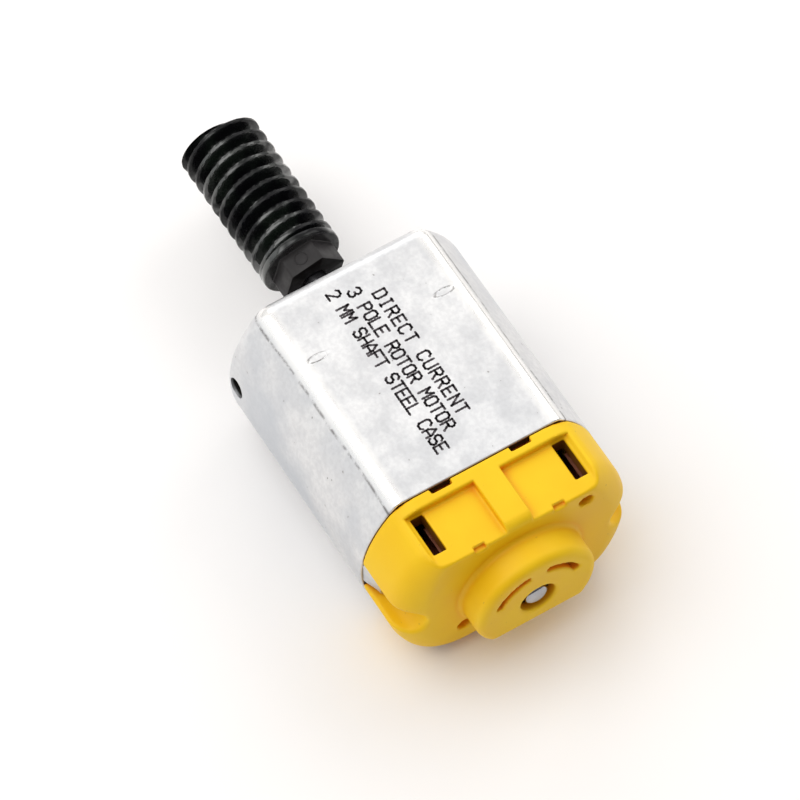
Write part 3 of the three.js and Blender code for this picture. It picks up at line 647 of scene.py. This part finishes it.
def cap_field(x, y, z):
    """Distance to the end cap's skin, negative inside the plastic: a block with a rounded end, joined to
    its skirt and boss, less everything that the mould leaves open."""
    wide = np.abs(y)
    around = np.hypot(y, z)
    below = np.clip((SEAM - x) / 4, 0, 1) * (z < 0)
    section = flat_round(y, z, CAN_RADIUS - 0.04, CAN_HALF - 0.04,
                         CAP_BEND + (CAP_LOWER_BEND - CAP_BEND) * below)
    shoulder = np.where(z < 0, 1, np.clip((wide - 5) / 4, 0, 1))
    end_round = CAP_ROUND_FLAT + (CAP_ROUND - CAP_ROUND_FLAT) * shoulder ** 2 * (3 - 2 * shoulder)
    block = round_max(section, CAP_END - x, end_round)
    block = round_max(block, x - (SEAM - 0.07), 0.1)
    inner = flat_round(y, z, CAN_RADIUS - SKIRT_INSET, CAN_HALF - SKIRT_INSET, 0.5)
    skirt = round_max(inner, slab(x, SEAM - 1, SEAM + SKIRT_LENGTH), 0.15)
    skirt = np.maximum(skirt, np.where(x > SEAM, -(inner + SKIRT_WALL), -1))
    boss = round_max(around - BOSS_RADIUS, -z - BOSS_FLAT, 0.55)
    boss = round_max(boss, BOSS_END - x, 0.75)
    boss = np.maximum(boss, x - (CAP_END + 1))
    body = round_min(np.minimum(block, skirt), boss, 0.35)

    cavity = np.maximum(wide - CAVITY_SIDE, np.abs(z) - CAVITY_HEIGHT)
    cavity = np.maximum(cavity, slab(x, CAP_END + 1.5, SEAM + 1))
    body = np.maximum(body, -cavity)
    seat = np.maximum(around - BUSH_SEAT, BOSS_END + 1 - x)
    hole = np.minimum(around - BOSS_HOLE, around - BOSS_HOLE - HOLE_EDGE + (x - BOSS_END))
    body = round_max(body, -hole, 0.1)
    body = np.maximum(body, -seat)

    floor_level = CAN_HALF - POCKET_DEPTH
    back_wall = x - (SEAM - POCKET_BAND)
    side_wall = (wide - POCKET_OUTER - 0.9 * (z - floor_level)) / 1.35
    pocket = np.maximum(np.maximum(POCKET_RIB - wide, side_wall), np.maximum(back_wall, floor_level - z))
    body = round_max(body, -pocket, 0.16)
    lip = np.maximum(x - (CAP_END + LIP_LENGTH), CAN_HALF - LIP_SINK - z)
    lip = np.maximum(lip, slab(wide, LIP_INNER, LIP_OUTER))
    body = round_max(body, -lip, 0.08)
    slot = np.maximum(slab(wide, SLOT_INNER, SLOT_OUTER), slab(x, SEAM - SLOT_FAR, SEAM - SLOT_NEAR))
    slot = np.maximum(slot, CAVITY_HEIGHT - 1 - z)
    body = round_max(body, -slot, 0.1)
    notch = np.maximum(slab(wide, NOTCH_INNER, NOTCH_OUTER), SEAM - NOTCH_DEPTH - x)
    notch = np.maximum(np.maximum(notch, CAN_HALF - NOTCH_SINK - z), x - SEAM - 0.2)
    body = np.maximum(body, -notch)

    groove = np.hypot(np.minimum(wide - GROOVE_INNER - GROOVE_RADIUS, 0), z) - GROOVE_RADIUS
    groove = np.maximum(groove, x - SEAM)
    body = round_max(body, -groove, 0.3)
    for mark_y, mark_z in PIN_MARKS:
        mark = np.maximum(np.hypot(y - mark_y, z - mark_z) - PIN_RADIUS, x - CAP_END - PIN_DEPTH)
        body = round_max(body, -mark, 0.08)
    angle = np.degrees(np.arctan2(z, y))
    for low, high in ARC_SPANS:
        ends = np.radians(slab(angle, low, high)) * ARC_MIDDLE
        arc = round_max(np.abs(around - ARC_MIDDLE) - ARC_HALF_WIDTH, ends, 0.25)
        body = round_max(body, -np.maximum(arc, x - BOSS_END - ARC_DEPTH), 0.08)
    return body


def field_surface(field, low, high, step):
    """The skin where the field is zero. Each cell that the skin crosses gets one point, at the mean of its
    edges' crossings, moved onto the skin along the field's slope. Each crossed edge joins four of them."""
    lines = [np.arange(low[k], high[k] + step, step) for k in range(3)]
    x, y, z = np.meshgrid(*lines, indexing="ij")
    value = field(x, y, z)
    cells = tuple(n - 1 for n in value.shape)
    total = np.zeros(cells + (3,))
    count = np.zeros(cells)
    crossings = []
    for axis in range(3):
        one, two = (axis + 1) % 3, (axis + 2) % 3
        first = np.take(value, range(value.shape[axis] - 1), axis)
        second = np.take(value, range(1, value.shape[axis]), axis)
        crossed = (first < 0) != (second < 0)
        index = np.argwhere(crossed)
        keep = (index[:, one] > 0) & (index[:, two] > 0)
        keep &= (index[:, one] < cells[one]) & (index[:, two] < cells[two])
        index = index[keep]
        a = first[tuple(index.T)]
        b = second[tuple(index.T)]
        spot = index.astype(float)
        spot[:, axis] += a / (a - b)
        ring = []
        for back_one, back_two in ((1, 1), (0, 1), (0, 0), (1, 0)):
            cell = index.copy()
            cell[:, one] -= back_one
            cell[:, two] -= back_two
            flat = np.ravel_multi_index(tuple(cell.T), cells)
            for k in range(3):
                total[..., k] += np.bincount(flat, spot[:, k], count.size).reshape(cells)
            count += np.bincount(flat, minlength=count.size).reshape(cells)
            ring.append(flat)
        quads = np.stack(ring, -1)
        quads[a >= 0] = quads[a >= 0][:, ::-1]
        crossings.append(quads)
    used = np.flatnonzero(count.ravel())
    number = np.full(count.size, -1)
    number[used] = np.arange(len(used))
    mean = total.reshape(-1, 3)[used] / count.ravel()[used][:, None]
    points = np.array(low) + mean * step
    nudge = 0.02
    for _ in range(4):
        here = field(*points.T)
        slope = np.stack([(field(*(points + side).T) - field(*(points - side).T)) / (2 * nudge)
                          for side in nudge * np.eye(3)], -1)
        size = np.maximum((slope ** 2).sum(1), 0.3)
        move = -here[:, None] * slope / size[:, None]
        points = points + np.clip(move, -step / 3, step / 3) * 0.8
    return points, [number[np.vstack(crossings)]]


yellow, shader, place, node, put = new_material("yellow_moulding", roughness=0.42)
math_of = sums(node)
add, subtract, multiply, absolute = (math_of[name] for name in ("add", "subtract", "multiply", "absolute"))
cloud = noise(node, place, 160, 3, 0.5)
grain = noise(node, place, 5200, 2, 0.5)
colour = blend(node, band(node, cloud, 0.35, 0.68), (0.90, 0.54, 0.004), (0.93, 0.595, 0.009))
specks = band(node, noise(node, place, 3200, 1, 0.3), 0.78, 0.81)
colour = blend(node, multiply(specks, 0.35), colour, (0.45, 0.24, 0.02))

# Close walls get painted orange bounce light, and deep gaps get painted shade, nearly black.
openness = node("ShaderNodeAmbientOcclusion", {"samples": 8}, Distance=1.1 * MM).outputs["AO"]
colour = blend(node, band(node, openness, 0.30, 0.90), (0.90, 0.30, 0.003), colour)
colour = blend(node, band(node, openness, 0.04, 0.32), (0.10, 0.035, 0.004), colour)

# Below the pockets' floors the terminals' slots are painted dark, as painted shade.
along, across, height = node("ShaderNodeSeparateXYZ", Vector=place).outputs
slot_middle = (SLOT_INNER + SLOT_OUTER) / 2
slot_half = (SLOT_OUTER - SLOT_INNER) / 2
pocket_floor = AXIS + CAN_HALF - POCKET_DEPTH
off_slot = absolute(subtract(absolute(across), slot_middle * MM))
painted_slot_shade = multiply(band(node, off_slot, (slot_half + 0.08) * MM, (slot_half + 0.2) * MM, 1.0, 0.0),
                   band(node, height, (pocket_floor - 0.35) * MM, (pocket_floor - 0.06) * MM, 1.0, 0.0))
painted_slot_shade = multiply(painted_slot_shade, band(node, along, (CAP_END + 0.6) * MM, (CAP_END + 0.9) * MM))
colour = blend(node, multiply(painted_slot_shade, 0.93), colour, (0.12, 0.03, 0.003))
put(shader.inputs["Base Color"], colour)
put(shader.inputs["Roughness"], band(node, cloud, 0.3, 0.7, 0.44, 0.56))
shader.inputs["IOR"].default_value = 1.33
bump = node("ShaderNodeBump", Height=add(multiply(grain, 0.35), cloud), Strength=0.25, Distance=0.00006)
put(shader.inputs["Normal"], bump.outputs["Normal"])

cap_low = (BOSS_END - 0.31, -10.81, -7.97)
cap_high = (SEAM + SKIRT_LENGTH + 0.32, 10.81, 7.97)
cap_surface = field_surface(cap_field, cap_low, cap_high, CAP_STEP)
cap = make_piece("end_cap_moulding", [cap_surface], yellow, "stator", sharp=60)
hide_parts("end_cap")

# ---- Terminals and brush arms ----
# Strips of phosphor bronze, pushed into the cap's slots, where the plugs of the leads touch them. They and
# the arms that press the brushes keep their plain bent shape, with rolled grain and tarnish.
bronze, shader, place, node, put = new_material("phosphor_bronze_strip", metallic=1.0, roughness=0.32)
stretched = node("ShaderNodeMapping", Vector=place, Scale=(1.0, 1.0, 9.0)).outputs["Vector"]
tarnish = band(node, noise(node, place, 700, 4, 0.6), 0.4, 0.7)
put(shader.inputs["Base Color"], blend(node, tarnish, (0.30, 0.12, 0.07), (0.17, 0.06, 0.04)))
put(shader.inputs["Roughness"], band(node, noise(node, stretched, 900, 3, 0.6), 0.3, 0.7, 0.24, 0.46))
for name in ("terminal_left", "terminal_right", "brush_arm_left", "brush_arm_right"):
    frame["nodes"][name].data.materials.clear()
    frame["nodes"][name].data.materials.append(bronze)

# ---- Shaft ----
# Ground steel, 2 mm thick. It runs through the whole motor, and its domed and polished ends show in the boss
# and in the worm's tip.
shaft_low, shaft_high = [np.array(corner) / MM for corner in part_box("shaft")]
SHAFT_RADIUS = 0.995
DOME = 0.34
TIP_EDGE = 0.15
TURNED_COLUMNS = 64

steel, shader, place, node, put = new_material("ground_steel", metallic=1.0, roughness=0.16)
stretched = node("ShaderNodeMapping", Vector=place, Scale=(14.0, 1.0, 1.0)).outputs["Vector"]
put(shader.inputs["Base Color"], blend(node, band(node, noise(node, place, 500, 3, 0.5), 0.35, 0.7),
                                       (0.30, 0.30, 0.32), (0.44, 0.44, 0.46)))
put(shader.inputs["Roughness"], band(node, noise(node, stretched, 600, 3, 0.6), 0.3, 0.7, 0.12, 0.26))


def lathe(x, radius):
    """A profile of [x, radius] points turned about the shaft axis."""
    angle = np.linspace(0, 2 * math.pi, TURNED_COLUMNS, endpoint=False)[None, :]
    x, radius = (np.asarray(v, float)[:, None] for v in (x, radius))
    return np.stack([x + 0 * angle, radius * np.cos(angle), radius * np.sin(angle)], -1)


def shaft_surface():
    """A bar with an elliptic dome at its rear end and a small rounded edge at its front end."""
    swing = np.linspace(0.06, math.pi / 2, 12)
    straight = np.linspace(shaft_low[0] + DOME, shaft_high[0] - TIP_EDGE, 30)[1:-1]
    x = np.concatenate([shaft_low[0] + DOME * (1 - np.cos(swing)), straight,
                        shaft_high[0] - TIP_EDGE * (1 - np.sin(swing))])
    radius = np.concatenate([SHAFT_RADIUS * np.sin(swing), 0 * straight + SHAFT_RADIUS,
                             SHAFT_RADIUS - TIP_EDGE * (1 - np.cos(swing))])
    return capped_surface(lathe(x, radius))


shaft = make_piece("steel_shaft", [shaft_surface()], steel, "rotor", sharp=50)
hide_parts("shaft")

# ---- Bushes ----
# Sleeves of sintered bronze, soaked with oil and pressed into the can's nose and the cap's boss. Their edges
# are chamfered and the bore is a close running fit on the shaft.
BUSH_RADIUS = 2.1
BUSH_BORE = 1.05
BUSH_CHAMFER = 0.18

sintered, shader, place, node, put = new_material("oily_sintered_bronze", metallic=0.8, roughness=0.5)
pores = noise(node, place, 6000, 4, 0.7)
colour = blend(node, band(node, pores, 0.42, 0.62), (0.05, 0.026, 0.014), (0.15, 0.075, 0.04))
put(shader.inputs["Base Color"], colour)
put(shader.inputs["Roughness"], band(node, pores, 0.35, 0.65, 0.62, 0.38))
bump = node("ShaderNodeBump", Height=pores, Strength=0.4, Distance=0.00004)
put(shader.inputs["Normal"], bump.outputs["Normal"])


def bush_surface(start, end):
    """A sleeve's section, chamfered at its four corners, turned about the shaft axis and closed on itself."""
    outer, inner = BUSH_CHAMFER, BUSH_CHAMFER / 2
    x = [start, start + outer, end - outer, end, end, end - inner, start + inner, start]
    radius = [BUSH_RADIUS - outer, BUSH_RADIUS, BUSH_RADIUS, BUSH_RADIUS - outer,
              BUSH_BORE + inner, BUSH_BORE, BUSH_BORE, BUSH_BORE + inner]
    return tube_surface(lathe(x, radius))


for name in ("front_bush", "rear_bush"):
    bush_low, bush_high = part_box(name)
    sleeve = bush_surface(bush_low[0] / MM, bush_high[0] / MM)
    bush = make_piece(f"{name}_sleeve", [sleeve], sintered, "stator", sharp=35)
    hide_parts(name)

# ---- Worm ----
# Black plastic, moulded with a hexagon neck and a collar and pressed on the shaft. One right-handed thread of
# 0.4 module runs to its tip, and oil makes it shine.
worm_low, worm_high = [np.array(corner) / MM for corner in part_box("worm")]
WORM_PITCH = math.pi * 0.4
WORM_RADIUS = 3.44
THREAD_DEPTH = 0.95
CREST = 0.17
FOOT = 0.50
HEX_FLATS = 4.85
HEX_TURN = 14.5
HEX_LENGTH = 1.95
COLLAR_LENGTH = 0.62
CREST_START = 2.98
WORM_BORE = 1.03
COLLAR_EDGE = 0.16
THREAD_START_SLOPE = 3.2
RING_RADIUS = 0.52
RING_WIRE = 0.05

gloss_black, shader, place, node, put = new_material("oiled_black_plastic", roughness=0.2)
math_of = sums(node)
add, subtract, multiply = (math_of[name] for name in ("add", "subtract", "multiply"))
oil = noise(node, place, 260, 3, 0.55)
film = noise(node, place, 900, 3, 0.6)
along = node("ShaderNodeSeparateXYZ", Vector=place).outputs[0]
neck_end = worm_low[0] + HEX_LENGTH
neck = band(node, along, (neck_end - 0.05) * MM, (neck_end + 0.1) * MM, 1.0, 0.0)
past_end_face = band(node, along, (worm_low[0] + 0.01) * MM, (worm_low[0] + 0.05) * MM)
colour = blend(node, band(node, oil, 0.4, 0.7), (0.004, 0.004, 0.005), (0.010, 0.015, 0.011))
colour = blend(node, multiply(neck, 0.8), colour, (0.030, 0.027, 0.028))
# The neck's end face, toward the can, is painted darker with little specular, as painted shade.
put(shader.inputs["Base Color"], blend(node, past_end_face, (0.006, 0.005, 0.005), colour))
put(shader.inputs["Specular IOR Level"], band(node, past_end_face, 0.0, 1.0, 0.06, 0.2))
put(shader.inputs["Roughness"], add(band(node, film, 0.3, 0.7, 0.10, 0.32), multiply(neck, 0.2)))
oiled = multiply(multiply(band(node, oil, 0.46, 0.60), past_end_face), subtract(1.0, neck))
put(shader.inputs["Coat Weight"], oiled)
shader.inputs["Coat Roughness"].default_value = 0.05
shader.inputs["Coat IOR"].default_value = 1.7
bump = node("ShaderNodeBump", Height=film, Strength=0.2, Distance=0.00005)
put(shader.inputs["Normal"], bump.outputs["Normal"])


def thread_radius(x, angle):
    """Radius of the threaded part: a tooth with a flat crest and sloping flanks, rounded at root and crest,
    which moves along the shaft by one pitch a turn."""
    turns = (x - worm_low[0] - CREST_START - WORM_PITCH * (angle / (2 * math.pi) - 0.25)) / WORM_PITCH
    off_crest = np.abs(turns - np.round(turns)) * WORM_PITCH
    t = np.clip((off_crest - CREST * 0.75) / (FOOT - CREST * 0.75), 0, 1)
    ease = 0.72 * t + 0.28 * t * t * (3 - 2 * t)
    return WORM_RADIUS - THREAD_DEPTH * ease


def hex_radius(angle):
    """Radius of the hexagon neck: half its width over the cosine from the nearest face's middle, with the
    corners eased off."""
    from_face = (angle - math.radians(90 - HEX_TURN)) % (math.pi / 3)
    from_face = np.minimum(from_face, math.pi / 3 - from_face)
    sharp_corner = HEX_FLATS / 2 / np.cos(from_face)
    limit = HEX_FLATS / 2 * 1.14
    return sharp_corner - np.maximum(sharp_corner - limit, 0) * 0.75


def worm_surface():
    """Rows along the shaft: the neck's chamfered end, the neck, the collar with rounded edges, the thread
    to the flat tip, and back through the bore."""
    angle = np.linspace(0, 2 * math.pi, 192, endpoint=False)[None, :]
    start, tip = worm_low[0], worm_high[0]
    collar = start + HEX_LENGTH
    thread = collar + COLLAR_LENGTH
    columns = angle.shape[1]
    x, radius = [], []

    def row(place_x, value):
        x.append(np.broadcast_to(place_x, (1, columns)))
        radius.append(np.broadcast_to(value, (1, columns)))

    neck = hex_radius(angle)
    row(start, WORM_BORE + 0.1 + 0 * neck)
    row(start, neck - 0.06)
    row(start + 0.02, neck - 0.015)
    for place_x in np.linspace(start + 0.06, collar - 0.06, 8):
        row(place_x, neck)
    row(collar, neck + 0.05)
    edge = np.linspace(0, math.pi / 2, 6)
    for a in edge:
        row(collar + COLLAR_EDGE * (1 - np.cos(a)), WORM_RADIUS - COLLAR_EDGE * (1 - np.sin(a)))
    row(thread - 0.1, WORM_RADIUS)
    row(thread - 0.05, WORM_RADIUS - 0.02)
    steps = int((tip - thread) / 0.05)
    for place_x in np.linspace(thread, tip - 0.04, steps):
        fall = WORM_RADIUS - 0.06 - THREAD_START_SLOPE * (place_x - thread)
        row(place_x, np.maximum(thread_radius(place_x, angle), fall))
    row(tip, thread_radius(tip, angle) - 0.05)
    row(tip, WORM_BORE + 0.12)
    row(tip - 0.12, WORM_BORE)
    row(start + 0.1, WORM_BORE)
    x, radius = np.vstack(x), np.vstack(radius)
    return tube_surface(np.stack([x, radius * np.cos(angle), radius * np.sin(angle)], -1))


def ring_mark():
    """A moulded ring on the neck's upper face: a small torus sunk half into the face."""
    around = np.linspace(0, 2 * math.pi, 40, endpoint=False)[:, None]
    tube = np.linspace(0, 2 * math.pi, 8, endpoint=False)[None, :]
    reach = RING_RADIUS + RING_WIRE * np.cos(tube)
    u, v = reach * np.cos(around), reach * np.sin(around)
    w = RING_WIRE * np.sin(tube) + 0 * around
    turn = math.radians(HEX_TURN)
    x = worm_low[0] + HEX_LENGTH * 0.52 + u
    y = v * math.cos(turn) + (w + HEX_FLATS / 2) * math.sin(turn)
    z = -v * math.sin(turn) + (w + HEX_FLATS / 2) * math.cos(turn)
    return tube_surface(np.stack([x, y, z], -1))


worm = make_piece("worm_moulding", [worm_surface(), ring_mark()], gloss_black, "rotor", sharp=35)
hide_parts("worm")

# ---- Magnets, armature and commutator inside the can ----
# Little of these can be seen in the closed motor. They keep their plain shapes, and each gets the finish of
# its real material. A finish is its dark and pale tone, how metallic it is, its roughness where dark and
# where pale, and its grain in patches to the metre.
INNER_FINISHES = {
    "ferrite": ((0.018, 0.017, 0.018), (0.045, 0.043, 0.042), 0.0, 0.8, 0.6, 2200),
    "spring_steel": ((0.40, 0.41, 0.43), (0.62, 0.63, 0.64), 1.0, 0.42, 0.26, 900),
    "silicon_steel": ((0.20, 0.22, 0.27), (0.42, 0.42, 0.43), 1.0, 0.5, 0.3, 1400),
    "white_nylon": ((0.72, 0.69, 0.61), (0.84, 0.82, 0.76), 0.0, 0.55, 0.4, 500),
    "enamelled_wire": ((0.42, 0.12, 0.035), (0.66, 0.26, 0.09), 0.8, 0.38, 0.2, 1800),
    "black_moulding": ((0.018, 0.018, 0.018), (0.05, 0.048, 0.046), 0.0, 0.6, 0.45, 1500),
    "copper": ((0.72, 0.33, 0.18), (0.86, 0.47, 0.30), 1.0, 0.38, 0.18, 800),
    "carbon": ((0.02, 0.02, 0.021), (0.07, 0.068, 0.066), 0.2, 0.7, 0.48, 3200),
}


def inner_finish(slot_name):
    """Two tones mixed by noise, with the roughness following it and a shallow relief of the same grain."""
    dark, light, metallic, rough, smooth, scale = INNER_FINISHES[slot_name]
    material, shader, place, node, put = new_material(f"inner_{slot_name}", metallic=metallic)
    grain = noise(node, place, scale, 4, 0.6)
    put(shader.inputs["Base Color"], blend(node, band(node, grain, 0.38, 0.66), dark, light))
    put(shader.inputs["Roughness"], band(node, grain, 0.35, 0.65, rough, smooth))
    relief = node("ShaderNodeBump", Height=grain, Strength=0.3, Distance=0.00005)
    put(shader.inputs["Normal"], relief.outputs["Normal"])
    return material


inner_materials = {slot_name: inner_finish(slot_name) for slot_name in INNER_FINISHES}
for part in frame["record"]["subparts"]:
    if part["material_slot"] in inner_materials:
        mesh = frame["nodes"][part["node"]].data
        mesh.materials.clear()
        mesh.materials.append(inner_materials[part["material_slot"]])
